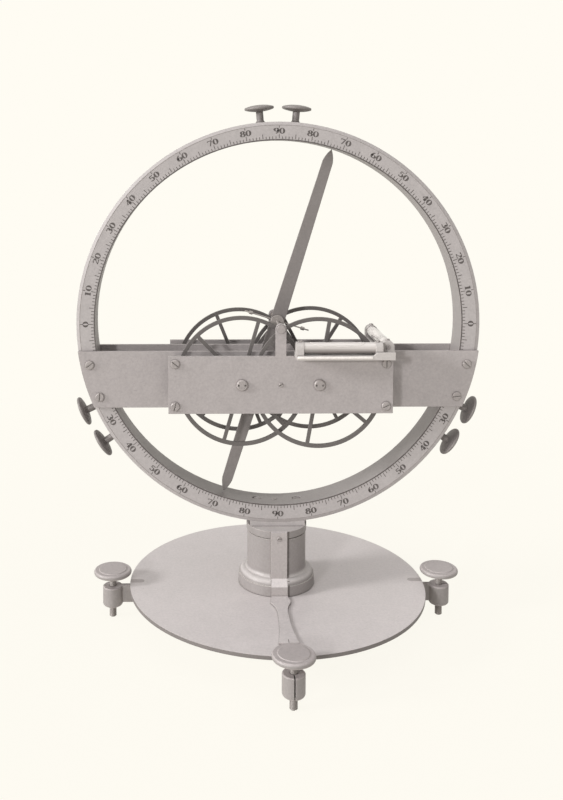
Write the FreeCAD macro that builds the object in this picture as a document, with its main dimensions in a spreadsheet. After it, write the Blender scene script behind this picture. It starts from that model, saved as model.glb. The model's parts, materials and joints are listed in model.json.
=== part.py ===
import FreeCAD, Part
import os
import re

import Sketcher
from FreeCAD import Placement, Rotation, Vector

# A dip circle: a magnetic needle swings in the plane of an upright divided circle,
# its axle rolling on four friction wheels. The circle turns on a levelled base plate.
#
# Frame: the floor is Z = 0 under the screw tips and the vertical axis is X = Y = 0.
# +Z is up. The dial looks along -Y, and +X is to the right of someone facing it.
# Sizes are millimetres, angles are degrees.

SIZES = {
    # Clearances
    "fixed_clearance": 0.02,
    "running_clearance": 0.05,
    "turning_gap": 0.2,
    # Base plate
    "plate_radius": 125.0,
    "plate_thickness": 3.0,
    "plate_underside": 27.3,
    # Foot brackets
    "foot_overhang": 15.0,
    "barrel_radius": 8.5,
    "barrel_height": 17.0,
    "barrel_drop": 0.5,
    "barrel_round": 2.6,
    "barrel_chamfer": 0.7,
    "slit_width": 1.0,
    "web_thickness": 4.0,
    "web_height": 14.5,
    "tongue_length": 12.0,
    "tongue_width": 6.5,
    # Levelling screws and their knobs
    "foot_screw_radius": 3.0,
    "foot_tip_radius": 2.4,
    "foot_tip_length": 0.8,
    "foot_thread_shown": 5.7,
    "knob_collar_radius": 4.6,
    "knob_collar_height": 4.3,
    "knob_radius": 16.0,
    "knob_thickness": 4.0,
    "knob_edge_round": 1.2,
    "knob_crown_radius": 11.9,
    "knob_crown_rise": 0.5,
    "knob_cover": 1.8,
    # Spindle that the column turns on
    "spindle_radius": 7.0,
    "spindle_rise": 33.0,
    "spindle_bolt_radius": 5.0,
    "spindle_bolt_end": 2.0,
    "spindle_stud_radius": 3.0,
    "nut_radius": 11.0,
    "nut_height": 6.0,
    "cap_radius": 9.5,
    "cap_thickness": 3.0,
    # Column
    "column_height": 52.0,
    "column_foot_radius": 32.0,
    "column_foot_height": 8.5,
    "moulding_step": 0.8,
    "moulding_height": 4.8,
    "flare_radius": 26.4,
    "flare_height": 4.4,
    "shaft_radius": 24.8,
    "rim_radius": 25.5,
    "rim_height": 5.5,
    "rim_groove": 1.2,
    "chamber_radius": 10.0,
    # Index: a strip let into the column and a pointer lying over the plate
    "index_width": 13.4,
    "index_front": 32.6,
    "index_shaft_front": 26.8,
    "index_back": 23.5,
    "index_screw_drop": 5.2,
    "pointer_thickness": 1.2,
    "pointer_reach": 108.0,
    "pointer_shoulder_half": 8.2,
    "pointer_shoulder_reach": 43.0,
    "pointer_waist_half": 4.2,
    "pointer_waist_reach": 63.0,
    "pointer_tail_half": 7.8,
    # Divided circle and its saddle
    "ring_radius": 168.5,
    "ring_width": 15.5,
    "ring_depth": 26.0,
    "bevel_width": 2.5,
    "bevel_depth": 1.0,
    "saddle_thickness": 3.5,
    "saddle_height": 5.6,
    "saddle_length": 46.0,
    "saddle_depth": 24.0,
    "ring_screw_half_span": 17.0,
    "ring_screw_depth": 17.0,
    "ring_screw_proud": -0.3,
    # Bars across the circle
    "bar_thickness": 3.0,
    "bar_screw_rise": 12.3,
    "bar_screw_drop": 14.6,
    # Cheek plates that carry the outer pivots of the wheels
    "cheek_length": 182.8,
    "cheek_height": 47.0,
    "cheek_thickness": 3.0,
    "cheek_standoff": 17.0,
    "cheek_screw_inset": 5.5,
    "cheek_screw_drop": 6.1,
    "pillar_radius": 2.4,
    "finger_width": 8.7,
    # Screws
    "screw_head_radius": 3.7,
    "screw_head_height": 1.6,
    "screw_shank_radius": 1.5,
    "screw_bite": 8.0,
    "slot_width": 0.9,
    "slot_depth": 0.8,
    "small_head_radius": 2.0,
    "small_head_height": 0.8,
    "small_shank_radius": 1.0,
    "small_bite": 2.6,
    # Friction wheels
    "wheel_radius": 54.2,
    "wheel_rim_width": 3.2,
    "wheel_rim_thickness": 2.0,
    "spoke_width": 3.0,
    "wheel_hub_radius": 5.0,
    "wheel_hub_length": 4.0,
    "wheel_half_span": 31.5,
    "outer_wheel_offset": 28.0,
    "inner_wheel_offset": 21.5,
    "arbor_radius": 2.0,
    "pivot_radius": 1.0,
    "arbor_end_play": 0.3,
    "bush_radius": 3.0,
    "bearing_cap_radius": 4.6,
    "bearing_cap_thickness": 2.3,
    "bearing_cap_bevel": 0.8,
    "spanner_hole_radius": 0.9,
    "spanner_hole_half_span": 2.7,
    # Needle, its axle and the balancing cross
    "needle_tip_gap": 0.6,
    "needle_thickness": 1.5,
    "needle_half_middle": 6.0,
    "needle_half_shoulder": 4.4,
    "needle_point_length": 11.0,
    "needle_lean_angle": 17.3,
    "axle_radius": 1.2,
    "axle_half_length": 31.0,
    "axle_gap": 0.2,
    "hub_radius": 5.6,
    "hub_thickness": 2.0,
    "hub_boss_radius": 2.4,
    "cross_offset": 4.25,
    "cross_hub_radius": 3.4,
    "cross_hub_length": 2.4,
    "cross_arm_radius": 0.6,
    "cross_arm_reach": 28.5,
    "button_radius": 1.5,
    "button_length": 3.0,
    "button_place": 23.0,
    # Stops beside the axle's ends
    "stop_radius": 2.5,
    "stop_thickness": 1.5,
    "boss_radius": 3.3,
    "boss_thickness": 1.4,
    # Spirit levels
    "rail_thickness": 3.2,
    "front_rail_start": 11.2,
    "front_rail_inset": 1.4,
    "front_rail_front": 51.8,
    "lip_length": 14.6,
    "lip_depth": 2.2,
    "lip_rise": 2.8,
    "lip_slant": 3.2,
    "cross_rail_width": 10.6,
    "cross_rail_rear": 36.0,
    "vial_radius": 4.6,
    "front_vial_line": 44.2,
    "vial_seat_depth": 3.0,
    "level_cap_radius": 5.2,
    "front_cap_length": 6.0,
    "cross_cap_length": 7.0,
    "cross_cap_front": 41.0,
    "cross_cap_rear": 35.4,
    "level_screw_radius": 0.8,
    "level_screw_head_radius": 1.7,
    "level_screw_head_depth": 1.1,
    "level_screw_bite": 4.2,
    "level_screw_inset": 18.0,
    # Thumbscrews in the rim of the circle
    "thumb_pair_half_angle": 5.0,
    "thumb_shank_radius": 2.2,
    "thumb_shank_length": 9.0,
    "thumb_collar_radius": 4.2,
    "thumb_collar_height": 3.2,
    "thumb_neck_radius": 3.0,
    "thumb_neck_length": 9.1,
    "thumb_head_radius": 12.4,
    "thumb_head_thickness": 5.6,
    "thumb_flat_radius": 1.5,
}

# Places that follow from the sizes above.
DERIVED = {
    "plate_top": "plate_underside + plate_thickness",
    "barrel_top": "plate_underside - barrel_drop",
    "foot_circle_radius": "plate_radius + foot_overhang",
    "tongue_half": "tongue_width / 2",
    "tongue_end": "plate_radius - tongue_length + tongue_half",
    "collar_underside": "barrel_top + foot_thread_shown",
    "knob_underside": "collar_underside + knob_collar_height",
    "knob_top": "knob_underside + knob_thickness + knob_crown_rise",
    "column_bottom": "plate_top + turning_gap",
    "column_top": "plate_top + column_height",
    "column_foot_top": "column_bottom + column_foot_height",
    "moulding_top": "column_foot_top + moulding_height",
    "spindle_top": "plate_top + spindle_rise",
    "chamber_floor": "spindle_top - turning_gap",
    "index_screw_line": "column_top - index_screw_drop",
    "ring_centre": "column_top + saddle_thickness + ring_radius",
    "ring_inner": "ring_radius - ring_width",
    "ring_middle": "ring_radius - ring_width / 2",
    "ring_wall_height": "ring_centre - sqrt(ring_inner ^ 2 - ring_screw_half_span ^ 2)",
    "ring_screw_seat": "ring_wall_height + ring_screw_proud - screw_head_height",
    "ring_face": "ring_depth / 2",
    "needle_half_length": "ring_inner - needle_tip_gap",
    "rolling_span": "wheel_radius + axle_radius + axle_gap",
    "wheel_line": "ring_centre - sqrt(rolling_span ^ 2 - wheel_half_span ^ 2)",
    "bar_face": "ring_face + bar_thickness",
    "bar_height": "cheek_height",
    "bar_top": "wheel_line + bar_height / 2",
    "cheek_inside": "bar_face + cheek_standoff",
    "cheek_face": "cheek_inside + cheek_thickness",
    "cheek_top": "wheel_line + cheek_height / 2",
    "cheek_screw_half_span": "cheek_length / 2 - cheek_screw_inset",
    "cheek_screw_half_rise": "cheek_height / 2 - cheek_screw_drop",
    "rail_top": "cheek_top + rail_thickness",
    "front_rail_end": "cheek_length / 2 - front_rail_inset",
    "cross_rail_end": "cheek_length / 2",
    "cross_rail_start": "cross_rail_end - cross_rail_width",
    "cross_vial_line": "cross_rail_end - cross_rail_width / 2",
    "front_vial_end": "cross_rail_start - turning_gap",
    "vial_height": "rail_top + level_cap_radius",
    "vial_bore": "vial_radius + fixed_clearance",
}

AXIS_X = Vector(1, 0, 0)
AXIS_Y = Vector(0, 1, 0)
AXIS_Z = Vector(0, 0, 1)
FRONT = -1
REAR = 1
SIDE_NAMES = {FRONT: "front", REAR: "rear"}
FOOT_ANGLES = {"right": 0, "rear": 90, "left": 180, "front": 270}
THUMB_PAIR_ANGLES = (90, 210, 330)
SPOKE_COUNT = 6
# Each friction wheel: side, hand (+1 right, -1 left), its offset's name, first spoke's angle.
WHEELS = {
    "front_left": (FRONT, -1, "inner_wheel_offset", 14),
    "front_right": (FRONT, 1, "outer_wheel_offset", 20),
    "rear_left": (REAR, -1, "inner_wheel_offset", 52),
    "rear_right": (REAR, 1, "outer_wheel_offset", 58),
}
# A quarter round's middle point stands this share of each half-axis from its centre.
QUARTER_ROUND = 0.7071

doc = FreeCAD.newDocument("dip_circle")
sheet = doc.addObject("Spreadsheet::Sheet", "sizes")
parts = []


# The sheet and the ways that objects are tied to it

def fill_sheet():
    for row, (name, amount) in enumerate(SIZES.items(), start=1):
        sheet.set(f"A{row}", name)
        sheet.set(f"B{row}", str(amount))
        sheet.setAlias(f"B{row}", name)
    first_row = len(SIZES) + 1
    for row, (name, formula) in enumerate(DERIVED.items(), start=first_row):
        sheet.set(f"A{row}", name)
        sheet.set(f"B{row}", "=" + formula)
        sheet.setAlias(f"B{row}", name)
    doc.recompute()


def tied(formula):
    """A formula in the sheet's names, written the way other objects refer to them."""
    def refer(match):
        word = match.group(0)
        return "sizes." + word if word in SIZES or word in DERIVED else word
    return re.sub(r"[a-z_]+", refer, str(formula))


def number(formula):
    return float(sheet.evalExpression(tied(formula)))


def bind(thing, **formulas):
    for name, formula in formulas.items():
        thing.setExpression(name, tied(formula))


def put(thing, x=0, y=0, z=0, turn=None):
    """Place a thing at bound coordinates, turned by a fixed rotation."""
    thing.Placement = Placement(Vector(number(x), number(y), number(z)), turn or Rotation())
    for letter, formula in zip("xyz", (x, y, z)):
        thing.setExpression("Placement.Base." + letter, tied(formula))
    return thing


def lean(thing, axis, formula):
    """Bind the angle of a placed thing about an axis. The start angle only sets the axis."""
    thing.Placement = Placement(thing.Placement.Base, Rotation(axis, 1))
    thing.setExpression("Placement.Rotation.Angle", tied(formula))
    return thing


def facing(side):
    """The rotation that lays a thing's +Z along Y, away from the middle of the circle."""
    return Rotation(AXIS_X, -90 * side)


# Primitives, booleans and sketches

def cylinder(name, radius, height, x=0, y=0, z=0, turn=None):
    solid = doc.addObject("Part::Cylinder", name)
    bind(solid, Radius=radius, Height=height)
    return put(solid, x, y, z, turn)


def cone(name, radius_low, radius_high, height, x=0, y=0, z=0, turn=None):
    solid = doc.addObject("Part::Cone", name)
    bind(solid, Radius1=radius_low, Radius2=radius_high, Height=height)
    return put(solid, x, y, z, turn)


def box(name, low, high):
    """A box between two corners given as formulas."""
    solid = doc.addObject("Part::Box", name)
    spans = [f"({top}) - ({bottom})" for bottom, top in zip(low, high)]
    bind(solid, Length=spans[0], Width=spans[1], Height=spans[2])
    return put(solid, *low)


def fuse(name, shapes):
    joined = doc.addObject("Part::MultiFuse", name)
    joined.Shapes = shapes
    return joined


def cut(name, base, tools):
    result = doc.addObject("Part::Cut", name)
    result.Base = base
    result.Tool = tools[0] if len(tools) == 1 else fuse(name + "_tools", tools)
    return result


def common(name, base, tool):
    result = doc.addObject("Part::Common", name)
    result.Base = base
    result.Tool = tool
    return result


def group(name, shapes):
    """Identical pieces that share one name, each a solid of its own."""
    gathered = doc.addObject("Part::Compound", name)
    gathered.Links = shapes
    return gathered


def part(thing, label):
    thing.Label = label
    parts.append(thing)
    return thing


def sketch_in(body, plane):
    sketch = body.newObject("Sketcher::SketchObject", body.Name + "_sketch")
    support = next(item for item in body.Origin.OriginFeatures if item.Role == plane)
    sketch.AttachmentSupport = [(support, "")]
    sketch.MapMode = "FlatFace"
    return sketch


def hold_point(sketch, index, end, x, y):
    for kind, formula in (("DistanceX", x), ("DistanceY", y)):
        row = sketch.addConstraint(Sketcher.Constraint(kind, -1, 1, index, end, number(formula)))
        sketch.setExpression(f"Constraints[{row}]", tied(formula))


def trace(sketch, outline):
    """Draw a closed outline. A corner is (x, y); ("by", x, y) bends the edge after it
    into an arc through that point."""
    corners = [item for item in outline if item[0] != "by"]
    bends = {}
    for place, item in enumerate(outline):
        if item[0] == "by":
            bends[len([one for one in outline[:place] if one[0] != "by"]) - 1] = item[1:]
    points = [Vector(number(x), number(y), 0) for x, y in corners]
    for place, start in enumerate(points):
        finish = points[(place + 1) % len(points)]
        if place in bends:
            middle = Vector(*(number(formula) for formula in bends[place]), 0)
            runs_left = (middle - start).cross(finish - start).z > 0
            ends = (start, finish) if runs_left else (finish, start)
            sketch.addGeometry(Part.Arc(ends[0], middle, ends[1]), False)
        else:
            sketch.addGeometry(Part.LineSegment(start, finish), False)
    for place in range(len(points)):
        join_edges(sketch, place, (place + 1) % len(points), points)
        hold_point(sketch, place, edge_end(sketch, place, points[place]), *corners[place])
    for place, bend in bends.items():
        spot = sketch.addGeometry(Part.Point(Vector(*(number(one) for one in bend), 0)), True)
        sketch.addConstraint(Sketcher.Constraint("PointOnObject", spot, 1, place))
        hold_point(sketch, spot, 1, *bend)


def edge_end(sketch, index, point):
    """1 or 2: which end of an edge lies at a point, since arcs run anticlockwise."""
    edge = sketch.Geometry[index]
    return 1 if edge.StartPoint.distanceToPoint(point) < edge.EndPoint.distanceToPoint(point) else 2


def join_edges(sketch, first, second, points):
    shared = points[second]
    ends = (edge_end(sketch, first, shared), edge_end(sketch, second, shared))
    sketch.addConstraint(Sketcher.Constraint("Coincident", first, ends[0], second, ends[1]))


def padded(name, plane, outline, length):
    """A body: an outline padded evenly to both sides of an origin plane."""
    body = doc.addObject("PartDesign::Body", name)
    sketch = sketch_in(body, plane)
    trace(sketch, outline)
    pad = body.newObject("PartDesign::Pad", name + "_pad")
    pad.Profile = sketch
    pad.Midplane = True
    bind(pad, Length=length)
    return body


def turned(name, plane, outline):
    """A body: an outline revolved about the upright axis of its sketch."""
    body = doc.addObject("PartDesign::Body", name)
    sketch = sketch_in(body, plane)
    trace(sketch, outline)
    whole = body.newObject("PartDesign::Revolution", name + "_turned")
    whole.Profile = sketch
    whole.ReferenceAxis = (sketch, ["V_Axis"])
    whole.Angle = 360
    return body


def slotted_screw(name, head, shank, slot_angle, x, y, z, turn):
    """A screw along +Z of its own frame with the underside of its head at the place given.
    head and shank are (radius, length) formulas."""
    head_radius, head_height = head
    shank_radius, shank_length = shank
    solids = [
        cylinder(name + "_head", head_radius, f"{head_height} * 0.6"),
        cone(name + "_crown", head_radius, f"{head_radius} - {head_height} * 0.4",
             f"{head_height} * 0.4", z=f"{head_height} * 0.6"),
        cylinder(name + "_shank", shank_radius, shank_length, z=f"-({shank_length})"),
    ]
    slot_floor = f"{head_height} - slot_depth"
    slot = box(name + "_slot", (f"-{head_radius} * 2", "-slot_width / 2", slot_floor),
               (f"{head_radius} * 2", "slot_width / 2", f"{head_height} * 2"))
    screw = cut(name, fuse(name + "_body", solids), [slot])
    return put(screw, x, y, z, turn * Rotation(AXIS_Z, slot_angle))


# Base: plate, brackets, levelling screws and knobs

def base_plate():
    disc = cylinder("plate_disc", "plate_radius", "plate_thickness", z="plate_underside")
    tools = [cylinder("plate_bore", "spindle_bolt_radius + fixed_clearance",
                      "plate_thickness", z="plate_underside")]
    for side, angle in FOOT_ANGLES.items():
        tools.append(tongue_shape("plate_slot_" + side, "fixed_clearance", "1", angle))
    part(cut("base_plate_cut", disc, tools), "base_plate")


def tongue_shape(name, clearance, overrun, angle=0):
    """The round-ended tongue that is let into the edge of the plate, grown by a clearance."""
    half = f"(tongue_half + {clearance})"
    shank = box(name + "_bar", ("tongue_end", f"-{half}", "plate_underside"),
                (f"plate_radius + {overrun}", half, "plate_top"))
    end = cylinder(name + "_end", half, "plate_thickness", x="tongue_end", z="plate_underside")
    return put(fuse(name, [shank, end]), turn=Rotation(AXIS_Z, angle))


def foot_bracket(side, angle):
    name = "bracket_" + side
    web_start = "plate_radius - tongue_length"
    web_end = "foot_circle_radius - barrel_radius + web_thickness / 4"
    solids = [
        put(turned(name + "_barrel", "XZ_Plane", barrel_outline()), x="foot_circle_radius"),
        box(name + "_web", (web_start, "-web_thickness / 2", "plate_underside - web_height"),
            (web_end, "web_thickness / 2", "plate_underside")),
        tongue_shape(name + "_tongue", "0", "0"),
    ]
    bore = cylinder(name + "_bore", "foot_screw_radius + running_clearance",
                    "barrel_height", x="foot_circle_radius", z="barrel_top - barrel_height")
    slit = box(name + "_slit", ("foot_circle_radius", "-slit_width / 2", "barrel_top - barrel_height"),
               ("foot_circle_radius + barrel_radius + 1", "slit_width / 2", "barrel_top"))
    bracket = cut(name, fuse(name + "_body", solids), [bore, slit])
    part(put(bracket, turn=Rotation(AXIS_Z, angle)), "foot_bracket_" + side)


def barrel_outline():
    """Half a barrel's section: a round at the bottom edge and a small chamfer at the top."""
    bottom = "barrel_top - barrel_height"
    inner = "barrel_radius - barrel_round"
    return [
        ("0", bottom), (inner, bottom),
        ("by", f"{inner} + barrel_round * {QUARTER_ROUND}",
         f"{bottom} + barrel_round * (1 - {QUARTER_ROUND})"),
        ("barrel_radius", f"{bottom} + barrel_round"),
        ("barrel_radius", "barrel_top - barrel_chamfer"),
        ("barrel_radius - barrel_chamfer", "barrel_top"), ("0", "barrel_top"),
    ]


def at_foot(thing, side):
    """Move an upright turned thing from the axis to its foot."""
    across, along = {"right": (1, 0), "rear": (0, 1), "left": (-1, 0), "front": (0, -1)}[side]
    return put(thing, f"foot_circle_radius * {across}", f"foot_circle_radius * {along}")


def foot_screw(side):
    top = "knob_top - knob_cover - turning_gap"
    outline = [("0", "0"), ("foot_tip_radius", "0"), ("foot_screw_radius", "foot_tip_length"),
               ("foot_screw_radius", top), ("0", top)]
    part(at_foot(turned("foot_screw_" + side, "XZ_Plane", outline), side), "foot_screw_" + side)


def foot_knob(side):
    bore = "foot_screw_radius + running_clearance"
    roof = "knob_top - knob_cover"
    shoulder = "knob_underside + knob_thickness"
    outline = [
        (bore, "collar_underside"), ("knob_collar_radius", "collar_underside"),
        ("knob_collar_radius", "knob_underside"),
        ("knob_radius - knob_edge_round", "knob_underside"),
        ("by", "knob_radius", "knob_underside + knob_thickness / 2"),
        ("knob_radius - knob_edge_round", shoulder), ("knob_crown_radius", shoulder),
        ("knob_crown_radius - knob_crown_rise", "knob_top"), ("0", "knob_top"),
        ("0", roof), (bore, roof),
    ]
    part(at_foot(turned("foot_knob_" + side, "XZ_Plane", outline), side), "foot_knob_" + side)


# Spindle and column

def spindle():
    low_end = "plate_underside - nut_height - spindle_bolt_end"
    stud_top = "spindle_top + cap_thickness"
    outline = [("0", low_end), ("spindle_bolt_radius", low_end),
               ("spindle_bolt_radius", "plate_top"), ("spindle_radius", "plate_top"),
               ("spindle_radius", "spindle_top"), ("spindle_stud_radius", "spindle_top"),
               ("spindle_stud_radius", stud_top), ("0", stud_top)]
    part(turned("spindle_body", "XZ_Plane", outline), "spindle")


def spindle_nut():
    hexagon = doc.addObject("Part::Prism", "nut_hexagon")
    hexagon.Polygon = 6
    bind(hexagon, Circumradius="nut_radius", Height="nut_height")
    put(hexagon, z="plate_underside - nut_height")
    bore = cylinder("nut_bore", "spindle_bolt_radius + fixed_clearance", "nut_height",
                    z="plate_underside - nut_height")
    part(cut("nut", hexagon, [bore]), "spindle_nut")


def spindle_cap():
    disc = cylinder("cap_disc", "cap_radius", "cap_thickness", z="spindle_top")
    bore = cylinder("cap_bore", "spindle_stud_radius + fixed_clearance", "cap_thickness",
                    z="spindle_top")
    part(cut("cap", disc, [bore]), "spindle_cap")


def column():
    bore = "spindle_radius + running_clearance"
    roll = "column_foot_radius - moulding_step"
    flare_top = "moulding_top + flare_height"
    rim_underside = "column_top - rim_height"
    outline = [
        (bore, "column_bottom"), ("column_foot_radius", "column_bottom"),
        ("column_foot_radius", "column_foot_top"), (roll, "column_foot_top"),
        ("by", f"flare_radius + ({roll} - flare_radius) * {QUARTER_ROUND}",
         f"column_foot_top + moulding_height * {QUARTER_ROUND}"),
        ("flare_radius", "moulding_top"),
        ("by", f"flare_radius - (flare_radius - shaft_radius) * {QUARTER_ROUND}",
         f"{flare_top} - flare_height * {QUARTER_ROUND}"),
        ("shaft_radius", flare_top), ("shaft_radius", f"{rim_underside} - rim_groove"),
        ("shaft_radius - rim_groove", f"{rim_underside} - rim_groove"),
        ("shaft_radius - rim_groove", rim_underside),
        ("rim_radius", rim_underside), ("rim_radius", "column_top"),
        ("chamber_radius", "column_top"), ("chamber_radius", "chamber_floor"),
        (bore, "chamber_floor"),
    ]
    half_slot = "(index_width / 2 + fixed_clearance)"
    tools = [
        box("column_slot", (f"-{half_slot}", "-column_foot_radius - 1", "plate_top"),
            (half_slot, "-index_back", "column_top + 1")),
        index_screw_hole("column_index_hole"),
    ]
    tools += ring_screw_holes("column")
    part(cut("column_cut", turned("column_body", "XZ_Plane", outline), tools), "column")


def index_screw_hole(name):
    depth = "index_shaft_front - index_back + screw_bite"
    return cylinder(name, "small_shank_radius + fixed_clearance", depth,
                    y="-index_shaft_front + " + depth, z="index_screw_line", turn=facing(FRONT))


def index():
    """The strip is upright on the shaft and slopes out over the moulding to the foot's edge."""
    strip = padded("index_strip", "YZ_Plane", [
        ("-index_front", "column_bottom"), ("-index_back", "column_bottom"),
        ("-index_back", "column_top"), ("-index_shaft_front", "column_top"),
        ("-index_shaft_front", "moulding_top"), ("-index_front", "column_foot_top"),
    ], "index_width")
    pointer = padded("index_pointer", "XY_Plane", pointer_outline(), "pointer_thickness")
    put(pointer, z="column_bottom + pointer_thickness / 2")
    part(cut("index_cut", fuse("index_body", [strip, pointer]),
             [index_screw_hole("index_hole")]), "index")


def pointer_outline():
    root = "-(index_front + index_back) / 2"
    between_half = "(pointer_shoulder_half + pointer_waist_half * 3) / 4"
    upper = "-(pointer_shoulder_reach * 0.6 + pointer_waist_reach * 0.4)"
    lower_half = "(pointer_waist_half * 4 + pointer_tail_half) / 5"
    lower = "-(pointer_waist_reach + pointer_reach) / 2"
    right = [
        ("index_width / 2", root), ("index_width / 2", "-index_front"),
        ("pointer_shoulder_half", "-pointer_shoulder_reach"), ("by", between_half, upper),
        ("pointer_waist_half", "-pointer_waist_reach"), ("by", lower_half, lower),
        ("pointer_tail_half", "-pointer_reach"),
    ]
    left = [(*item[:-2], f"-({item[-2]})", item[-1]) for item in reversed(right)]
    return right + left


def index_screw():
    shank = "index_shaft_front - index_back + screw_bite - turning_gap"
    screw = slotted_screw("index_screw_cut", ("small_head_radius", "small_head_height"),
                          ("small_shank_radius", shank), 20,
                          0, "-index_shaft_front", "index_screw_line", facing(FRONT))
    part(screw, "index_screw")


# Divided circle, saddle and thumbscrews

def ring_screw_holes(name):
    """Holes for the screws through the bottom of the circle, with a round seat for each head."""
    tools = []
    for place, hand in enumerate((-1, 1)):
        x = f"ring_screw_half_span * {hand}"
        tools.append(cylinder(f"{name}_ring_hole_{place}", "screw_shank_radius + fixed_clearance",
                              "ring_screw_seat - column_top + ring_screw_depth",
                              x=x, z="column_top - ring_screw_depth"))
        tools.append(cylinder(f"{name}_ring_seat_{place}", "screw_head_radius + fixed_clearance",
                              "screw_head_height * 3", x=x, z="ring_screw_seat"))
    return tools


def ring_screws():
    shank = "ring_screw_seat - column_top + ring_screw_depth - turning_gap"
    screws = [slotted_screw(f"ring_screw_{place}", ("screw_head_radius", "screw_head_height"),
                            ("screw_shank_radius", shank), 15 * hand,
                            f"ring_screw_half_span * {hand}", 0, "ring_screw_seat", Rotation())
              for place, hand in enumerate((-1, 1))]
    part(group("ring_screw_group", screws), "ring_screws")


def ring_hollow(name):
    """A cylinder along Y on the circle's own axis, with the circle's outer radius."""
    return cylinder(name, "ring_radius", "saddle_depth + ring_depth + cheek_standoff",
                    y="(saddle_depth + ring_depth + cheek_standoff) / 2", z="ring_centre",
                    turn=facing(FRONT))


def circle_saddle():
    block = box("saddle_block", ("-saddle_length / 2", "-saddle_depth / 2", "column_top"),
                ("saddle_length / 2", "saddle_depth / 2", "column_top + saddle_height"))
    hollow = ring_hollow("saddle_hollow")
    bind(hollow, Radius="ring_radius + fixed_clearance")
    part(cut("saddle_cut", block, [hollow] + ring_screw_holes("saddle")), "circle_saddle")


def at_rim(thing, radius, pair_angle, hand):
    """Stand a thing on a radius of the circle, one of a pair about a main angle."""
    angle = f"({pair_angle} + thumb_pair_half_angle * {hand})"
    put(thing, f"{radius} * cos({angle})", 0, f"ring_centre + {radius} * sin({angle})")
    return lean(thing, AXIS_Y, f"90 - {angle}")


def thumb_spots():
    return [(pair_angle, hand) for pair_angle in THUMB_PAIR_ANGLES for hand in (-1, 1)]


def divided_circle():
    outline = [("ring_inner", "-ring_face"), ("ring_radius - bevel_width", "-ring_face"),
               ("ring_radius", "-ring_face + bevel_depth"), ("ring_radius", "ring_face"),
               ("ring_inner", "ring_face")]
    ring = put(turned("ring_body", "XY_Plane", outline), z="ring_centre")
    tools = ring_screw_holes("ring")
    for place, (pair_angle, hand) in enumerate(thumb_spots()):
        hole = cylinder(f"ring_thumb_hole_{place}", "thumb_shank_radius + running_clearance",
                        "thumb_shank_length + turning_gap + 1")
        tools.append(at_rim(hole, "(ring_radius - thumb_shank_length - turning_gap)",
                            pair_angle, hand))
    for side in (FRONT, REAR):
        tools += bar_screw_holes(f"ring_{SIDE_NAMES[side]}", side)
    part(cut("ring_cut", ring, tools), "divided_circle")


def thumbscrew(place, pair_angle, hand):
    collar_top = "thumb_collar_height + turning_gap"
    neck_top = "turning_gap + thumb_neck_length"
    edge = "thumb_head_radius * 0.95"
    middle = f"({edge} + thumb_neck_radius) / 2"

    def rise(share):
        return f"{neck_top} + thumb_head_thickness * {share}"

    outline = [
        ("0", "-thumb_shank_length"), ("thumb_shank_radius", "-thumb_shank_length"),
        ("thumb_shank_radius", "turning_gap"), ("thumb_collar_radius", "turning_gap"),
        ("by", f"thumb_collar_radius - (thumb_collar_radius - thumb_neck_radius) * {QUARTER_ROUND}",
         f"{collar_top} - thumb_collar_height * {QUARTER_ROUND}"),
        ("thumb_neck_radius", collar_top),
        ("thumb_neck_radius", neck_top), ("by", middle, rise(0.09)), (edge, rise(0.3)),
        ("by", "thumb_head_radius", rise(0.5)), (edge, rise(0.7)), ("by", middle, rise(0.91)),
        ("thumb_flat_radius", rise(1)), ("0", rise(1)),
    ]
    screw = turned(f"thumbscrew_{place}_body", "XZ_Plane", outline)
    part(at_rim(screw, "ring_radius", pair_angle, hand), f"thumbscrew_{place}")


# Bars across the circle and the cheek plates in front of them

def bar_screw_spots():
    """Formulas for the places of a bar's four screws."""
    spots = []
    for hand in (-1, 1):
        for height in ("wheel_line + bar_screw_rise", "wheel_line - bar_screw_drop"):
            below = f"(ring_centre - ({height}))"
            spots.append((f"sqrt(ring_middle ^ 2 - {below} ^ 2) * {hand}", height))
    return spots


def cheek_screw_spots():
    return [(f"cheek_screw_half_span * {hand}", f"wheel_line + cheek_screw_half_rise * {rise}")
            for hand in (-1, 1) for rise in (-1, 1)]


def wheel_spots():
    return [(f"wheel_half_span * {hand}", "wheel_line") for hand in (-1, 1)]


def outward(name, side, radius, start, finish, x, z):
    """A cylinder along Y between two distances from the middle of the circle."""
    return cylinder(name, radius, f"({finish}) - ({start})", x, f"({start}) * {side}", z,
                    facing(side))


def bar_screw_holes(name, side):
    return [outward(f"{name}_bar_hole_{place}", side, "screw_shank_radius + fixed_clearance",
                    "bar_face - screw_bite", "bar_face", x, z)
            for place, (x, z) in enumerate(bar_screw_spots())]


def y_span(side, near, far):
    """The low and high Y of something between two distances on one side."""
    return (f"-({far})", f"-({near})") if side == FRONT else (near, far)


def bar(side):
    name = SIDE_NAMES[side] + "_bar"
    low, high = y_span(side, "ring_face", "bar_face")
    blank = box(name + "_blank", ("-ring_radius", low, "wheel_line - bar_height / 2"),
                ("ring_radius", high, "bar_top"))
    rounded = common(name + "_ends", blank, ring_hollow(name + "_round"))
    tools = bar_screw_holes(name, side)
    tools += [outward(f"{name}_pillar_hole_{place}", side, "screw_shank_radius + fixed_clearance",
                      "ring_face", "bar_face", x, z)
              for place, (x, z) in enumerate(cheek_screw_spots())]
    tools += [outward(f"{name}_bush_hole_{place}", side, "bush_radius + fixed_clearance",
                      "ring_face", "bar_face", x, z)
              for place, (x, z) in enumerate(wheel_spots())]
    tools += level_screw_tools(name)
    part(cut(name + "_cut", rounded, tools), name)


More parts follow.
